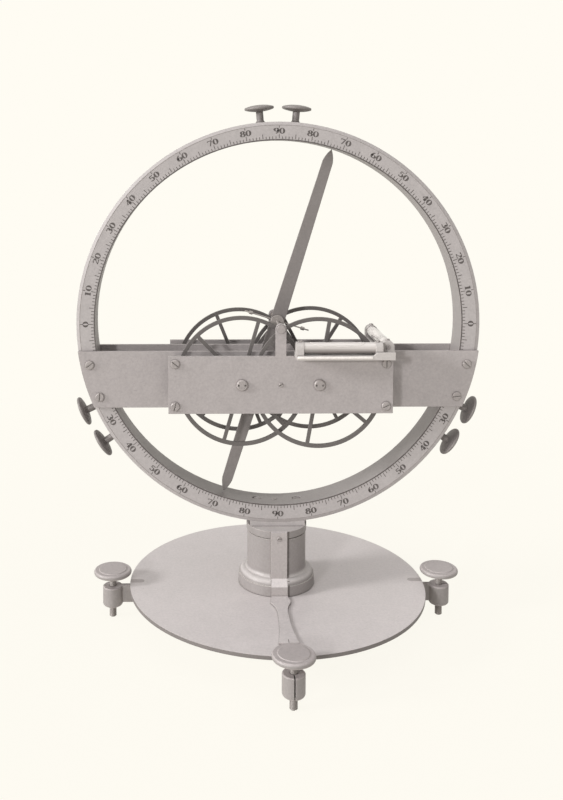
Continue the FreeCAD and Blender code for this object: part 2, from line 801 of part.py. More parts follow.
def bar_screws():
    screws = []
    for side in (FRONT, REAR):
        for place, (x, z) in enumerate(bar_screw_spots()):
            screws.append(slotted_screw(
                f"bar_screw_{SIDE_NAMES[side]}_{place}", ("screw_head_radius", "screw_head_height"),
                ("screw_shank_radius", "screw_bite - turning_gap"), 35 + 50 * place,
                x, f"bar_face * {side}", z, facing(side)))
    part(group("bar_screw_group", screws), "bar_screws")


def bar_bushes():
    bushes = []
    for side in (FRONT, REAR):
        for place, (x, z) in enumerate(wheel_spots()):
            name = f"bush_{SIDE_NAMES[side]}_{place}"
            bushes.append(cut(name, outward(name + "_ring", side, "bush_radius", "ring_face",
                                            "bar_face", x, z),
                              [outward(name + "_bore", side, "pivot_radius + running_clearance",
                                       "ring_face", "bar_face", x, z)]))
    part(group("bush_group", bushes), "bar_bushes")


def cheek(side):
    """A plate with a finger that rises to the height of the needle's axle."""
    name = SIDE_NAMES[side] + "_cheek"
    half = "cheek_length / 2"
    finger = "finger_width / 2"
    rise = "ring_centre - wheel_line"
    outline = [
        (f"-{half}", "-cheek_height / 2"), (half, "-cheek_height / 2"),
        (half, "cheek_height / 2"), (finger, "cheek_height / 2"), (finger, rise),
        ("by", "0", f"{rise} + {finger}"), (f"-{finger}", rise),
        (f"-{finger}", "cheek_height / 2"), (f"-{half}", "cheek_height / 2"),
    ]
    plate = padded(name + "_plate", "XZ_Plane", outline, "cheek_thickness")
    put(plate, y=f"(cheek_inside + cheek_thickness / 2) * {side}", z="wheel_line")
    spots = [("screw", spot, "screw_shank_radius") for spot in cheek_screw_spots()]
    spots += [("bush", spot, "bush_radius") for spot in wheel_spots()]
    spots += [("stop", ("0", "ring_centre"), "small_shank_radius")]
    spots += [("middle", ("0", "wheel_line"), "small_shank_radius")]
    tools = [outward(f"{name}_{kind}_hole_{place}", side, f"{radius} + fixed_clearance",
                     "cheek_inside", "cheek_face", x, z)
             for place, (kind, (x, z), radius) in enumerate(spots)]
    tools += level_screw_tools(name)
    part(cut(name + "_cut", plate, tools), name)


def cheek_pillars():
    """Posts between bar and cheek, each with a tenon in the bar and a tapped outer end."""
    pillars = []
    for side in (FRONT, REAR):
        for place, (x, z) in enumerate(cheek_screw_spots()):
            name = f"pillar_{SIDE_NAMES[side]}_{place}"
            post = outward(name + "_post", side, "pillar_radius", "bar_face", "cheek_inside", x, z)
            tenon = outward(name + "_tenon", side, "screw_shank_radius", "ring_face",
                            "bar_face + cheek_standoff / 4", x, z)
            bore = outward(name + "_bore", side, "screw_shank_radius + fixed_clearance",
                           "cheek_inside - screw_bite", "cheek_inside", x, z)
            pillars.append(cut(name, fuse(name + "_body", [post, tenon]), [bore]))
    part(group("pillar_group", pillars), "cheek_pillars")


def cheek_screws():
    screws = []
    for side in (FRONT, REAR):
        for place, (x, z) in enumerate(cheek_screw_spots()):
            screws.append(slotted_screw(
                f"cheek_screw_{SIDE_NAMES[side]}_{place}",
                ("screw_head_radius", "screw_head_height"),
                ("screw_shank_radius", "cheek_thickness + screw_bite - turning_gap"),
                75 + 65 * place, x, f"cheek_face * {side}", z, facing(side)))
        screws.append(slotted_screw(
            f"cheek_screw_{SIDE_NAMES[side]}_middle", ("small_head_radius", "small_head_height"),
            ("small_shank_radius", "small_bite"), 30, 0, f"cheek_face * {side}", "wheel_line",
            facing(side)))
    part(group("cheek_screw_group", screws), "cheek_screws")


def bearing_caps():
    """Round caps outside the cheeks, each with a bush for a wheel's outer pivot."""
    caps = []
    for side in (FRONT, REAR):
        for place, (x, z) in enumerate(wheel_spots()):
            name = f"bearing_cap_{SIDE_NAMES[side]}_{place}"
            cap_face = "cheek_face + bearing_cap_thickness"
            bevel_start = f"{cap_face} - bearing_cap_bevel"
            solids = [
                outward(name + "_disc", side, "bearing_cap_radius", "cheek_face", bevel_start, x, z),
                cone(name + "_bevel", "bearing_cap_radius", "bearing_cap_radius - bearing_cap_bevel",
                     "bearing_cap_bevel", x, f"({bevel_start}) * {side}", z, facing(side)),
                outward(name + "_bush", side, "bush_radius", "cheek_inside",
                        "cheek_face + bearing_cap_thickness / 2", x, z),
            ]
            bore = outward(name + "_bore", side, "pivot_radius + running_clearance",
                           "cheek_inside", "cheek_face + arbor_end_play * 2", x, z)
            tools = [bore]
            for hand in (-1, 1):
                tools.append(outward(f"{name}_spanner_{place}_{hand + 1}", side,
                                     "spanner_hole_radius", "cheek_face + bearing_cap_thickness / 2",
                                     cap_face, f"{x} + spanner_hole_half_span * {hand}", z))
            caps.append(cut(name, fuse(name + "_body", solids), tools))
    part(group("bearing_cap_group", caps), "bearing_caps")


def pivot_bosses():
    """Small round bosses outside the fingers, each with a peg that holds a stone stop."""
    bosses = []
    for side in (FRONT, REAR):
        name = "boss_" + SIDE_NAMES[side]
        disc = outward(name + "_disc", side, "boss_radius", "cheek_face",
                       "cheek_face + boss_thickness", 0, "ring_centre")
        peg = outward(name + "_peg", side, "small_shank_radius", "cheek_inside",
                      "cheek_face + boss_thickness / 2", 0, "ring_centre")
        bosses.append(fuse(name, [disc, peg]))
    part(group("boss_group", bosses), "pivot_bosses")


def agate_stops():
    stops = [outward("stop_" + SIDE_NAMES[side], side, "stop_radius",
                     "cheek_inside - stop_thickness", "cheek_inside", 0, "ring_centre")
             for side in (FRONT, REAR)]
    part(group("stop_group", stops), "agate_stops")


# Friction wheels

def wheel(name, side, hand, offset, first_spoke):
    half_rim = "wheel_rim_thickness / 2"
    half_hub = "wheel_hub_length / 2"
    inner = "wheel_radius - wheel_rim_width"
    rim = cut(name + "_rim",
              cylinder(name + "_disc", "wheel_radius", "wheel_rim_thickness", z=f"-{half_rim}"),
              [cylinder(name + "_open", inner, "wheel_rim_thickness", z=f"-{half_rim}")])
    solids = [rim, cylinder(name + "_hub", "wheel_hub_radius", "wheel_hub_length", z=f"-{half_hub}")]
    for spoke in range(SPOKE_COUNT):
        blade = box(f"{name}_spoke_{spoke}", ("0", "-spoke_width / 2", f"-{half_rim}"),
                    (f"{inner} + wheel_rim_width / 3", "spoke_width / 2", half_rim))
        # A spoke turns about the wheel's axis, so its corner is placed on the turned frame.
        angle = spoke * 360 / SPOKE_COUNT
        put(blade, f"spoke_width / 2 * sin({angle})", f"-spoke_width / 2 * cos({angle})",
            f"-{half_rim}", Rotation(AXIS_Z, angle))
        solids.append(blade)
    bore = cylinder(name + "_bore", "arbor_radius + fixed_clearance", "wheel_hub_length",
                    z=f"-{half_hub}")
    finished = cut(name + "_cut", fuse(name + "_body", solids), [bore])
    turn = facing(FRONT) * Rotation(AXIS_Z, first_spoke)
    part(put(finished, f"wheel_half_span * {hand}", f"{offset} * {side}", "wheel_line", turn),
         "friction_wheel_" + name)


def arbor(name, side, hand):
    x = f"wheel_half_span * {hand}"
    solids = [
        outward(name + "_arbor_shaft", side, "arbor_radius", "bar_face + arbor_end_play",
                "cheek_inside - arbor_end_play", x, "wheel_line"),
        outward(name + "_arbor_pivots", side, "pivot_radius", "ring_face + arbor_end_play",
                "cheek_face + arbor_end_play", x, "wheel_line"),
    ]
    part(fuse(name + "_arbor_body", solids), "wheel_arbor_" + name)


# Needle

def at_axle(thing, angle="0"):
    """Place a thing made about the needle's own axle, which leans with the needle."""
    put(thing, z="ring_centre")
    return lean(thing, AXIS_Y, f"needle_lean_angle + {angle}")


def needle():
    shoulder = "(needle_half_length - needle_point_length)"
    ogive_half = "needle_half_shoulder * 0.62"
    ogive = f"({shoulder} + needle_point_length * 0.55)"
    outline = [
        ("needle_half_middle", "0"), ("needle_half_shoulder", shoulder),
        ("by", ogive_half, ogive), ("0", "needle_half_length"),
        ("by", f"-({ogive_half})", ogive), ("-needle_half_shoulder", shoulder),
        ("-needle_half_middle", "0"), ("-needle_half_shoulder", f"-{shoulder}"),
        ("by", f"-({ogive_half})", f"-{ogive}"), ("0", "-needle_half_length"),
        ("by", ogive_half, f"-{ogive}"), ("needle_half_shoulder", f"-{shoulder}"),
    ]
    blade = padded("needle_blade", "XZ_Plane", outline, "needle_thickness")
    eye = cylinder("needle_eye", "hub_boss_radius + fixed_clearance", "needle_thickness * 2",
                   y="needle_thickness", turn=facing(FRONT))
    part(at_axle(cut("needle_cut", blade, [eye])), "needle")


def needle_axle():
    """Along Y: the axle, a boss through the needle and a flange on its front face."""
    face = "needle_thickness / 2"
    solids = [
        cylinder("axle_rod", "axle_radius", "axle_half_length * 2", y="axle_half_length",
                 turn=facing(FRONT)),
        outward("axle_boss", FRONT, "hub_boss_radius", f"-({face})", face, 0, 0),
        outward("axle_flange", FRONT, "hub_radius", face, f"{face} + hub_thickness", 0, 0),
    ]
    part(at_axle(fuse("axle_body", solids)), "needle_axle")


def balance_cross():
    """A hub behind the needle with four thin arms."""
    start = "cross_offset - cross_hub_length / 2"
    hub = outward("cross_hub", REAR, "cross_hub_radius", start, start + " + cross_hub_length", 0, 0)
    arms = [cylinder(f"cross_arm_{quarter}", "cross_arm_radius", "cross_arm_reach",
                     y="cross_offset", turn=Rotation(AXIS_Y, 90 * quarter))
            for quarter in range(4)]
    bore = outward("cross_bore", REAR, "axle_radius + fixed_clearance", start,
                   start + " + cross_hub_length", 0, 0)
    part(at_axle(cut("cross_cut", fuse("cross_body", [hub] + arms), [bore])), "balance_cross")


def balance_button(quarter):
    name = f"balance_button_{quarter + 1}"
    low = "button_place - button_length / 2"
    disc = cylinder(name + "_disc", "button_radius", "button_length", y="cross_offset", z=low)
    bore = cylinder(name + "_bore", "cross_arm_radius + running_clearance", "button_length",
                    y="cross_offset", z=low)
    button = cut(name + "_cut", disc, [bore])
    part(at_axle(button, str(90 * quarter)), name)


# Spirit levels

def level_screw_spots():
    """Countersunk screws: two hold the front rail to its cheek, two the cross rail to the bars."""
    cheek_middle = "(cheek_inside + cheek_thickness / 2)"
    bar_middle = "(ring_face + bar_thickness / 2)"
    return [
        ("front_rail_start + level_screw_inset", f"-{cheek_middle}"),
        ("cross_rail_start - level_screw_inset", f"-{cheek_middle}"),
        ("cross_vial_line", f"-{bar_middle}"),
        ("cross_vial_line", bar_middle),
    ]


def level_screw_tools(name):
    """Clearance holes for every level screw; those elsewhere cut nothing."""
    tools = []
    for place, (x, y) in enumerate(level_screw_spots()):
        tools.append(cylinder(f"{name}_level_hole_{place}", "level_screw_radius + fixed_clearance",
                              "rail_thickness + level_screw_bite", x, y,
                              "cheek_top - level_screw_bite"))
        tools.append(cone(f"{name}_level_sink_{place}", "level_screw_radius + fixed_clearance",
                          "level_screw_head_radius + fixed_clearance", "level_screw_head_depth",
                          x, y, "rail_top - level_screw_head_depth"))
    return tools


def level_screws():
    screws = []
    for place, (x, y) in enumerate(level_screw_spots()):
        name = f"level_screw_{place}"
        shank = cylinder(name + "_shank", "level_screw_radius",
                         "rail_thickness + level_screw_bite - turning_gap", x, y,
                         "cheek_top - level_screw_bite + turning_gap")
        head = cone(name + "_head", "level_screw_radius", "level_screw_head_radius",
                    "level_screw_head_depth", x, y, "rail_top - level_screw_head_depth")
        screws.append(fuse(name, [shank, head]))
    part(group("level_screw_group", screws), "level_screws")


def level_rails():
    strip = box("front_strip", ("front_rail_start", "-front_rail_front", "cheek_top"),
                ("front_rail_end", "-cheek_inside", "rail_top"))
    lip_start = "front_rail_end - lip_length"
    lip = padded("front_lip", "XZ_Plane", [
        (f"{lip_start} - lip_slant", "cheek_top"), ("front_rail_end", "cheek_top"),
        ("front_rail_end", "rail_top + lip_rise"), (lip_start, "rail_top + lip_rise"),
        (f"{lip_start} - lip_slant", "rail_top"),
    ], "lip_depth")
    put(lip, y="-front_rail_front + lip_depth / 2")
    front = cut("front_rail", fuse("front_rail_body", [strip, lip]), level_screw_tools("front_rail"))
    part(front, "front_level_rail")
    cross = box("cross_strip", ("cross_rail_start", "-cheek_inside", "cheek_top"),
                ("cross_rail_end", "cross_rail_rear", "rail_top"))
    part(cut("cross_rail", cross, level_screw_tools("cross_rail")), "cross_level_rail")


def level_cap(name, low, high, axis_low, axis_length, bore_low, turn):
    """A block with a round top around one end of a vial. low and high are its foot's corners;
    the round and the bore run from axis_low and bore_low along the turned +Z."""
    foot = box(name + "_foot", low, high)
    head = cylinder(name + "_round", "level_cap_radius", axis_length, *axis_low, turn)
    bore = cylinder(name + "_bore", "vial_bore", "vial_seat_depth", *bore_low, turn)
    return cut(name, fuse(name + "_body", [foot, head]), [bore])


def level_end_caps():
    along_x = Rotation(AXIS_Y, 90)
    along_y = Rotation(AXIS_X, -90)
    caps = []
    front_ends = {"left": ("front_rail_start", "front_rail_start + front_cap_length - vial_seat_depth"),
                  "right": ("front_vial_end - front_cap_length",
                            "front_vial_end - front_cap_length")}
    for end, (start, seat) in front_ends.items():
        caps.append(level_cap(
            "front_cap_" + end,
            (start, "-front_vial_line - level_cap_radius", "rail_top"),
            (f"{start} + front_cap_length", "-front_vial_line + level_cap_radius", "vial_height"),
            (start, "-front_vial_line", "vial_height"), "front_cap_length",
            (seat, "-front_vial_line", "vial_height"), along_x))
    cross_ends = {"front": ("-cross_cap_front", "-cross_cap_front + cross_cap_length - vial_seat_depth"),
                  "rear": ("cross_cap_rear - cross_cap_length", "cross_cap_rear - cross_cap_length")}
    for end, (start, seat) in cross_ends.items():
        caps.append(level_cap(
            "cross_cap_" + end,
            ("cross_vial_line - level_cap_radius", start, "rail_top"),
            ("cross_vial_line + level_cap_radius", f"{start} + cross_cap_length", "vial_height"),
            ("cross_vial_line", start, "vial_height"), "cross_cap_length",
            ("cross_vial_line", seat, "vial_height"), along_y))
    part(group("level_cap_group", caps), "level_end_caps")


def level_vials():
    front_start = "front_rail_start + front_cap_length - vial_seat_depth"
    front_length = f"front_vial_end - front_cap_length + vial_seat_depth - ({front_start})"
    part(cylinder("front_vial", "vial_radius", front_length, front_start, "-front_vial_line",
                  "vial_height", Rotation(AXIS_Y, 90)), "front_level_vial")
    cross_start = "-cross_cap_front + cross_cap_length - vial_seat_depth"
    cross_length = f"cross_cap_rear - cross_cap_length + vial_seat_depth - ({cross_start})"
    part(cylinder("cross_vial", "vial_radius", cross_length, "cross_vial_line", cross_start,
                  "vial_height", Rotation(AXIS_X, -90)), "cross_level_vial")


# The whole instrument

def build():
    fill_sheet()
    base_plate()
    spindle()
    spindle_nut()
    spindle_cap()
    for side, angle in FOOT_ANGLES.items():
        foot_bracket(side, angle)
        foot_screw(side)
        foot_knob(side)
    column()
    index()
    index_screw()
    circle_saddle()
    ring_screws()
    divided_circle()
    for place, (pair_angle, hand) in enumerate(thumb_spots(), start=1):
        thumbscrew(place, pair_angle, hand)
    for side in (FRONT, REAR):
        bar(side)
        cheek(side)
    bar_screws()
    bar_bushes()
    cheek_pillars()
    cheek_screws()
    bearing_caps()
    pivot_bosses()
    agate_stops()
    for name, (side, hand, offset, first_spoke) in WHEELS.items():
        wheel(name, side, hand, offset, first_spoke)
        arbor(name, side, hand)
    needle()
    needle_axle()
    balance_cross()
    for quarter in range(4):
        balance_button(quarter)
    level_rails()
    level_end_caps()
    level_vials()
    level_screws()
    doc.recompute()


def check():
    """Stop before anything is written if an object failed or a sub-part has no sound shape."""
    failed = [thing.Name for thing in doc.Objects
              if "Invalid" in thing.State or "Error" in thing.State]
    if failed:
        raise RuntimeError("objects that did not recompute: " + ", ".join(failed))
    for thing in parts:
        if thing.Shape.isNull() or not thing.Shape.isValid() or not thing.Shape.Solids:
            raise RuntimeError("no sound shape: " + thing.Label)


def write():
    os.makedirs("parts", exist_ok=True)
    for thing in parts:
        thing.Shape.exportStep(os.path.join("parts", thing.Label + ".step"))
        print(f"{thing.Label}: {len(thing.Shape.Solids)} solids, {thing.Shape.Volume:.1f} mm3")


build()
check()
write()
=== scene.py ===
import json
import math

import bmesh
import bpy
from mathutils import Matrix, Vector

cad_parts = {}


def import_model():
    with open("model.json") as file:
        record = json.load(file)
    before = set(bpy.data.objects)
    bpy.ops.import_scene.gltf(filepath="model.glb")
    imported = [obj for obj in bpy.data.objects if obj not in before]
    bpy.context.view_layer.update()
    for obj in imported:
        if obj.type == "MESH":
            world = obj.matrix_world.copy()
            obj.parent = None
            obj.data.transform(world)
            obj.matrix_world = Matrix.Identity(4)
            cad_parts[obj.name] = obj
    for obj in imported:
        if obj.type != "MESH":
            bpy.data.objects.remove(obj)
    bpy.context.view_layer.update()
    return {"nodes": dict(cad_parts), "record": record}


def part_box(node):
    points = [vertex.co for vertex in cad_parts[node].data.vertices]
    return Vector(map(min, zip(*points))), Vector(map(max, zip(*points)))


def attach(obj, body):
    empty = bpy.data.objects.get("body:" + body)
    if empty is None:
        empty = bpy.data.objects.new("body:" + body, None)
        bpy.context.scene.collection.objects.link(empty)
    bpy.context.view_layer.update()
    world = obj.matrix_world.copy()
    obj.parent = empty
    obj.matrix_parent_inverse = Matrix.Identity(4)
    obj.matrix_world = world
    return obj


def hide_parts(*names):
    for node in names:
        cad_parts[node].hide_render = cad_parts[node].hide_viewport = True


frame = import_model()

# Looks of a dip circle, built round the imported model. Lengths are metres and +Z is up.
# The dial looks along -Y. MM turns millimetres into metres.

MM = 0.001
PAPER = (255, 252, 243)

UP = Vector((0, 0, 1))
FORWARD = Vector((0, -1, 0))


def middle_of(node):
    """The middle of a node's box."""
    low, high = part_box(node)
    return (low + high) / 2


ring_low, ring_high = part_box("divided_circle")
RING_CENTRE = middle_of("divided_circle").z
RING_RADIUS = (ring_high.x - ring_low.x) / 2
RING_FACE = ring_low.y
RING_WIDTH = 15.5 * MM
RING_INNER = RING_RADIUS - RING_WIDTH
WHEEL_LINE = middle_of("friction_wheel_front_left").z
WHEEL_X = 31.5 * MM
FOOT_RADIUS = middle_of("foot_screw_right").x
NEEDLE_LEAN = math.radians(17.3)


# Colours and node trees

def linear(rgb):
    """A screen colour, 0 to 255, as the linear colour that renders like it."""
    shares = [value / 255 for value in rgb]
    return tuple(s / 12.92 if s <= 0.04045 else ((s + 0.055) / 1.055) ** 2.4 for s in shares) + (1,)


def add(tree, kind, settings=None, **inputs):
    """A shader node. Inputs are named, or i0, i1 by number; a socket is linked, else it is set."""
    made = tree.nodes.new("ShaderNode" + kind)
    for name, value in (settings or {}).items():
        setattr(made, name, value)
    for name, value in inputs.items():
        place = int(name[1:]) if name[0] == "i" and name[1:].isdigit() else name.replace("_", " ")
        if isinstance(value, bpy.types.NodeSocket):
            tree.links.new(value, made.inputs[place])
        else:
            made.inputs[place].default_value = value
    return made


def maths(tree, operation, first, second=0.0):
    return add(tree, "Math", {"operation": operation}, i0=first, i1=second).outputs[0]


def noise(tree, place, scale, detail=2.0, roughness=0.5):
    return add(tree, "TexNoise", Vector=place, Scale=scale, Detail=detail,
               Roughness=roughness).outputs["Fac"]


def line_noise(tree, distance, scale, detail=2.0):
    """Noise that changes only with a distance, for marks left by turning or brushing."""
    return add(tree, "TexNoise", {"noise_dimensions": "1D"}, W=distance, Scale=scale,
               Detail=detail).outputs["Fac"]


def remap(tree, value, low, high, to_low=0.0, to_high=1.0):
    return add(tree, "MapRange", i0=value, i1=low, i2=high, i3=to_low, i4=to_high).outputs[0]


def mix(tree, share, first, second, blend="MIX"):
    made = add(tree, "Mix", {"data_type": "RGBA", "blend_type": blend}, i0=share)
    for place, value in ((6, first), (7, second)):
        if isinstance(value, bpy.types.NodeSocket):
            tree.links.new(value, made.inputs[place])
        else:
            made.inputs[place].default_value = value
    return made.outputs[2]


def coordinates(tree):
    """The object's own coordinates, whole and one by one."""
    place = add(tree, "TexCoord").outputs["Object"]
    parts = add(tree, "SeparateXYZ", Vector=place).outputs
    return place, parts[0], parts[1], parts[2]


def length(tree, first, second):
    squares = maths(tree, "ADD", maths(tree, "MULTIPLY", first, first),
                    maths(tree, "MULTIPLY", second, second))
    return maths(tree, "SQRT", squares)


# Grain: a distance whose steady growth makes the lines of a finish

def round_upright(tree, x, y, z):
    return length(tree, x, y)


def round_dial(tree, x, y, z):
    return length(tree, x, maths(tree, "SUBTRACT", z, RING_CENTRE))


def round_feet(tree, x, y, z):
    """Distance from the nearest of the four foot screws' axes."""
    wide, deep = maths(tree, "ABSOLUTE", x), maths(tree, "ABSOLUTE", y)
    far = maths(tree, "SUBTRACT", maths(tree, "MAXIMUM", wide, deep), FOOT_RADIUS)
    return length(tree, far, maths(tree, "MINIMUM", wide, deep))


def round_wheels(tree, x, y, z):
    """Distance from the nearer of the two lines that the friction wheels turn on."""
    side = maths(tree, "SUBTRACT", maths(tree, "ABSOLUTE", x), WHEEL_X)
    return length(tree, side, maths(tree, "SUBTRACT", z, WHEEL_LINE))


def along_needle(tree, x, y, z):
    """Distance from the needle's long axis as it leans at rest."""
    return maths(tree, "SUBTRACT", maths(tree, "MULTIPLY", x, math.cos(NEEDLE_LEAN)),
                 maths(tree, "MULTIPLY", z, math.sin(NEEDLE_LEAN)))


# Materials

# The colour of painted shade in slots, joints and inner corners
CREVICE_SHADE_COLOUR = (84, 78, 76)
WORN_EDGE_AND_HIGHLIGHT = (222, 214, 207)

# Noise scales: slow clouds of tone, the fine stipple, single pits
CLOUD_SCALE = 60.0
STIPPLE_SCALE = 520.0
PIT_SCALE = 420.0
PIT_TONE = 0.85
CREVICE_REACH = 1.6 * MM


def new_material(name):
    """A material with its node tree and its main shader."""
    material = bpy.data.materials.new(name)
    material.use_nodes = True
    tree = material.node_tree
    return material, tree, tree.nodes["Principled BSDF"]


def edge_share(tree, radius):
    """How far a point lies on an edge or in a corner: 1 there, 0 on flat ground."""
    rounded = add(tree, "Bevel", {"samples": 4}, Radius=radius).outputs[0]
    flat = add(tree, "NewGeometry").outputs["Normal"]
    same = add(tree, "VectorMath", {"operation": "DOT_PRODUCT"}, i0=rounded, i1=flat).outputs["Value"]
    return rounded, remap(tree, same, 0.995, 0.82)


def tone_with_shaded_walls(tree, face, shaded_wall, axis):
    """The face's colour, and a darker wall colour painted as shade where the surface doesn't look along
    an axis (0, 1, 2).
    """
    normal = add(tree, "NewGeometry").outputs["Normal"]
    along = maths(tree, "ABSOLUTE", add(tree, "SeparateXYZ", Vector=normal).outputs[axis])
    return mix(tree, remap(tree, along, 0.3, 0.7), linear(shaded_wall), linear(face))


def painted_crevice_shade(tree, colour):
    """The colour with painted shade: darker in slots, joints and inner corners, where less light
    reaches.
    """
    open_share = add(tree, "AmbientOcclusion", {"samples": 6}, Distance=CREVICE_REACH).outputs["AO"]
    return mix(tree, remap(tree, open_share, 0.45, 0.85, 0.6, 0.0), colour, linear(CREVICE_SHADE_COLOUR))


def metal(name, colour, grain=None, roughness=0.5, metallic=0.12, edge=WORN_EDGE_AND_HIGHLIGHT,
          edge_strength=0.5, edge_radius=0.45, side=None, face_axis=2, grain_scale=1400.0,
          mottle=0.07, grain_depth=0.02, fleck=0.1):
    """A satin metal: cloudy tone, turned or brushed grain, fine pits, painted shade in crevices, and
    edges painted lighter as wear and painted highlight.
    side is a darker tone painted as shade on walls that don't face along face_axis. edge_radius is in
    millimetres."""
    material, tree, shader = new_material(name)
    place, x, y, z = coordinates(tree)
    cloud = noise(tree, place, CLOUD_SCALE, 4.0, 0.62)
    stipple = noise(tree, place, STIPPLE_SCALE, 3.0, 0.75)
    lines = line_noise(tree, grain(tree, x, y, z), grain_scale, 3.0) if grain else stipple
    tone = maths(tree, "ADD", remap(tree, cloud, 0.3, 0.7, 1 - mottle / 2, 1 + mottle / 2),
                 remap(tree, lines, 0.25, 0.75, -grain_depth, grain_depth))
    tone = maths(tree, "ADD", tone, remap(tree, stipple, 0.25, 0.75, -fleck, fleck))
    pits = remap(tree, noise(tree, place, PIT_SCALE, 2.0), 0.7, 0.76, 1.0, PIT_TONE)
    tone = maths(tree, "MULTIPLY", tone, pits)
    base = tone_with_shaded_walls(tree, colour, side, face_axis) if side else linear(colour)
    bright = add(tree, "CombineXYZ", i0=tone, i1=tone, i2=tone).outputs[0]
    coloured = painted_crevice_shade(tree, mix(tree, 1.0, base, bright, "MULTIPLY"))
    # Lighter edges: partly wear, partly a painted highlight along the edges
    rounded, edges = edge_share(tree, edge_radius * MM)
    wear_and_highlight = remap(tree, cloud, 0.35, 0.65, edge_strength * 0.5, edge_strength)
    worn = maths(tree, "MULTIPLY", edges, wear_and_highlight)
    tree.links.new(mix(tree, worn, coloured, linear(edge)), shader.inputs["Base Color"])
    surface = maths(tree, "ADD", cloud, maths(tree, "MULTIPLY", lines, 0.5))
    tree.links.new(remap(tree, surface, 0.5, 1.0, roughness - 0.08, roughness + 0.1),
                   shader.inputs["Roughness"])
    bump = add(tree, "Bump", Strength=0.35, Distance=0.05 * MM, Normal=rounded,
               Height=maths(tree, "ADD", lines, maths(tree, "MULTIPLY", stipple, 0.6)))
    tree.links.new(bump.outputs[0], shader.inputs["Normal"])
    shader.inputs["Metallic"].default_value = metallic
    return material


def wax(name, colour, worn=34):
    """The dark filling of engraved lines and figures, paler by worn where it has gone."""
    material, tree, shader = new_material(name)
    cloud = noise(tree, coordinates(tree)[0], 260.0, 4.0, 0.6)
    colours = mix(tree, remap(tree, cloud, 0.5, 0.8), linear(colour),
                  linear([value + worn for value in colour]))
    tree.links.new(colours, shader.inputs["Base Color"])
    bump = add(tree, "Bump", Strength=0.2, Distance=0.02 * MM, Height=cloud)
    tree.links.new(bump.outputs[0], shader.inputs["Normal"])
    shader.inputs["Roughness"].default_value = 0.65
    return material


def stone(name, dark=(150, 138, 128), pale=(205, 194, 184)):
    """A banded, polished stone."""
    material, tree, shader = new_material(name)
    bands = add(tree, "TexWave", Vector=coordinates(tree)[0], Scale=500.0, Distortion=6.0,
                Detail=3.0).outputs["Fac"]
    tree.links.new(mix(tree, bands, linear(dark), linear(pale)), shader.inputs["Base Color"])
    bump = add(tree, "Bump", Strength=0.08, Distance=0.02 * MM, Height=bands)
    tree.links.new(bump.outputs[0], shader.inputs["Normal"])
    shader.inputs["Roughness"].default_value = 0.2
    return material


def glass(name, low=(130, 124, 121), middle=(190, 183, 179), high=(214, 207, 203)):
    """A vial seen as the body it makes: spirit in glass with streaks along it, with painted shade on its
    underside and painted light on its top.
    """
    material, tree, shader = new_material(name)
    stretched = add(tree, "Mapping", Vector=coordinates(tree)[0], Scale=(0.04, 0.04, 2.2)).outputs[0]
    streaks = noise(tree, stretched, 420.0, 3.0)
    normal = add(tree, "NewGeometry").outputs["Normal"]
    painted_light_share = add(tree, "SeparateXYZ", Vector=normal).outputs[2]
    painted_light_share = maths(tree, "ADD", painted_light_share, remap(tree, streaks, 0.3, 0.7, -0.13, 0.13))
    # Painted shade low down and painted light on top, by the height of the normal
    body = mix(tree, remap(tree, painted_light_share, -0.55, 0.05), linear(low), linear(middle))
    body = mix(tree, remap(tree, painted_light_share, 0.05, 0.75), body, linear(high))
    tree.links.new(body, shader.inputs["Base Color"])
    bump = add(tree, "Bump", Strength=0.1, Distance=0.03 * MM, Height=streaks)
    tree.links.new(bump.outputs[0], shader.inputs["Normal"])
    shader.inputs["Roughness"].default_value = 0.15
    shader.inputs["Coat Weight"].default_value = 0.5
    shader.inputs["Coat Roughness"].default_value = 0.05
    return material


# Each side colour is painted shade on walls that don't face along face_axis
MATERIALS = {
    "plate_metal": metal("plate_metal", (210, 203, 202), round_upright, side=(118, 112, 110),
                         fleck=0.08),
    "circle_metal": metal("circle_metal", (175, 169, 168), round_dial, side=(150, 144, 142),
                          face_axis=1),
    # Strong, wide edges paint the highlight on the column's rim as well as wear
    "column_metal": metal("column_metal", (190, 184, 182), round_upright, side=(148, 142, 140),
                          edge_strength=0.9, edge_radius=0.8),
    "bar_metal": metal("bar_metal", (168, 161, 160)),
    "foot_metal": metal("foot_metal", (174, 166, 165), round_feet, side=(150, 144, 142),
                        edge_strength=0.8),
    "thread_metal": metal("thread_metal", (138, 132, 129), round_feet, metallic=0.4),
    "screw_metal": metal("screw_metal", (158, 151, 149), metallic=0.2, edge_strength=0.7),
    "thumb_metal": metal("thumb_metal", (130, 124, 122), metallic=0.2),
    "wheel_metal": metal("wheel_metal", (100, 95, 93), round_wheels, edge=(150, 143, 139)),
    "arbor_metal": metal("arbor_metal", (140, 134, 130), round_wheels, metallic=0.6, roughness=0.3),
    "needle_metal": metal("needle_metal", (127, 121, 119), along_needle, edge=(160, 153, 149)),
    "axle_metal": metal("axle_metal", (166, 159, 155), metallic=0.3, roughness=0.35),
    "stone": stone("stone"),
    # The near-white edge colour paints highlights along the level's edges as well as wear
    "level_metal": metal("level_metal", (190, 184, 181), edge=(236, 230, 225), edge_strength=0.9,
                         edge_radius=0.7),
    "vial_glass": glass("vial_glass"),
}
INDEX_METAL = metal("index_metal", (204, 197, 196), side=(176, 169, 167))
# Fill of the engraved marks, also used for the painted shade ring at the dial's inner edge
ENGRAVING_FILL_AND_EDGE_SHADE = wax("engraving_fill_and_edge_shade", (84, 78, 76))
SOFT_WAX = wax("soft_wax", (138, 131, 128))
# The colour of the painted shadow beside the index strip
STRIP_SHADOW_PAINT = wax("painted_strip_shadow", (112, 106, 103))
# A pale metal that paints highlights: the bubbles' rims and the rail's bead
PAINTED_HIGHLIGHT_METAL = metal("painted_highlight_metal", (232, 226, 221), metallic=0.1, edge=(240, 234, 229))
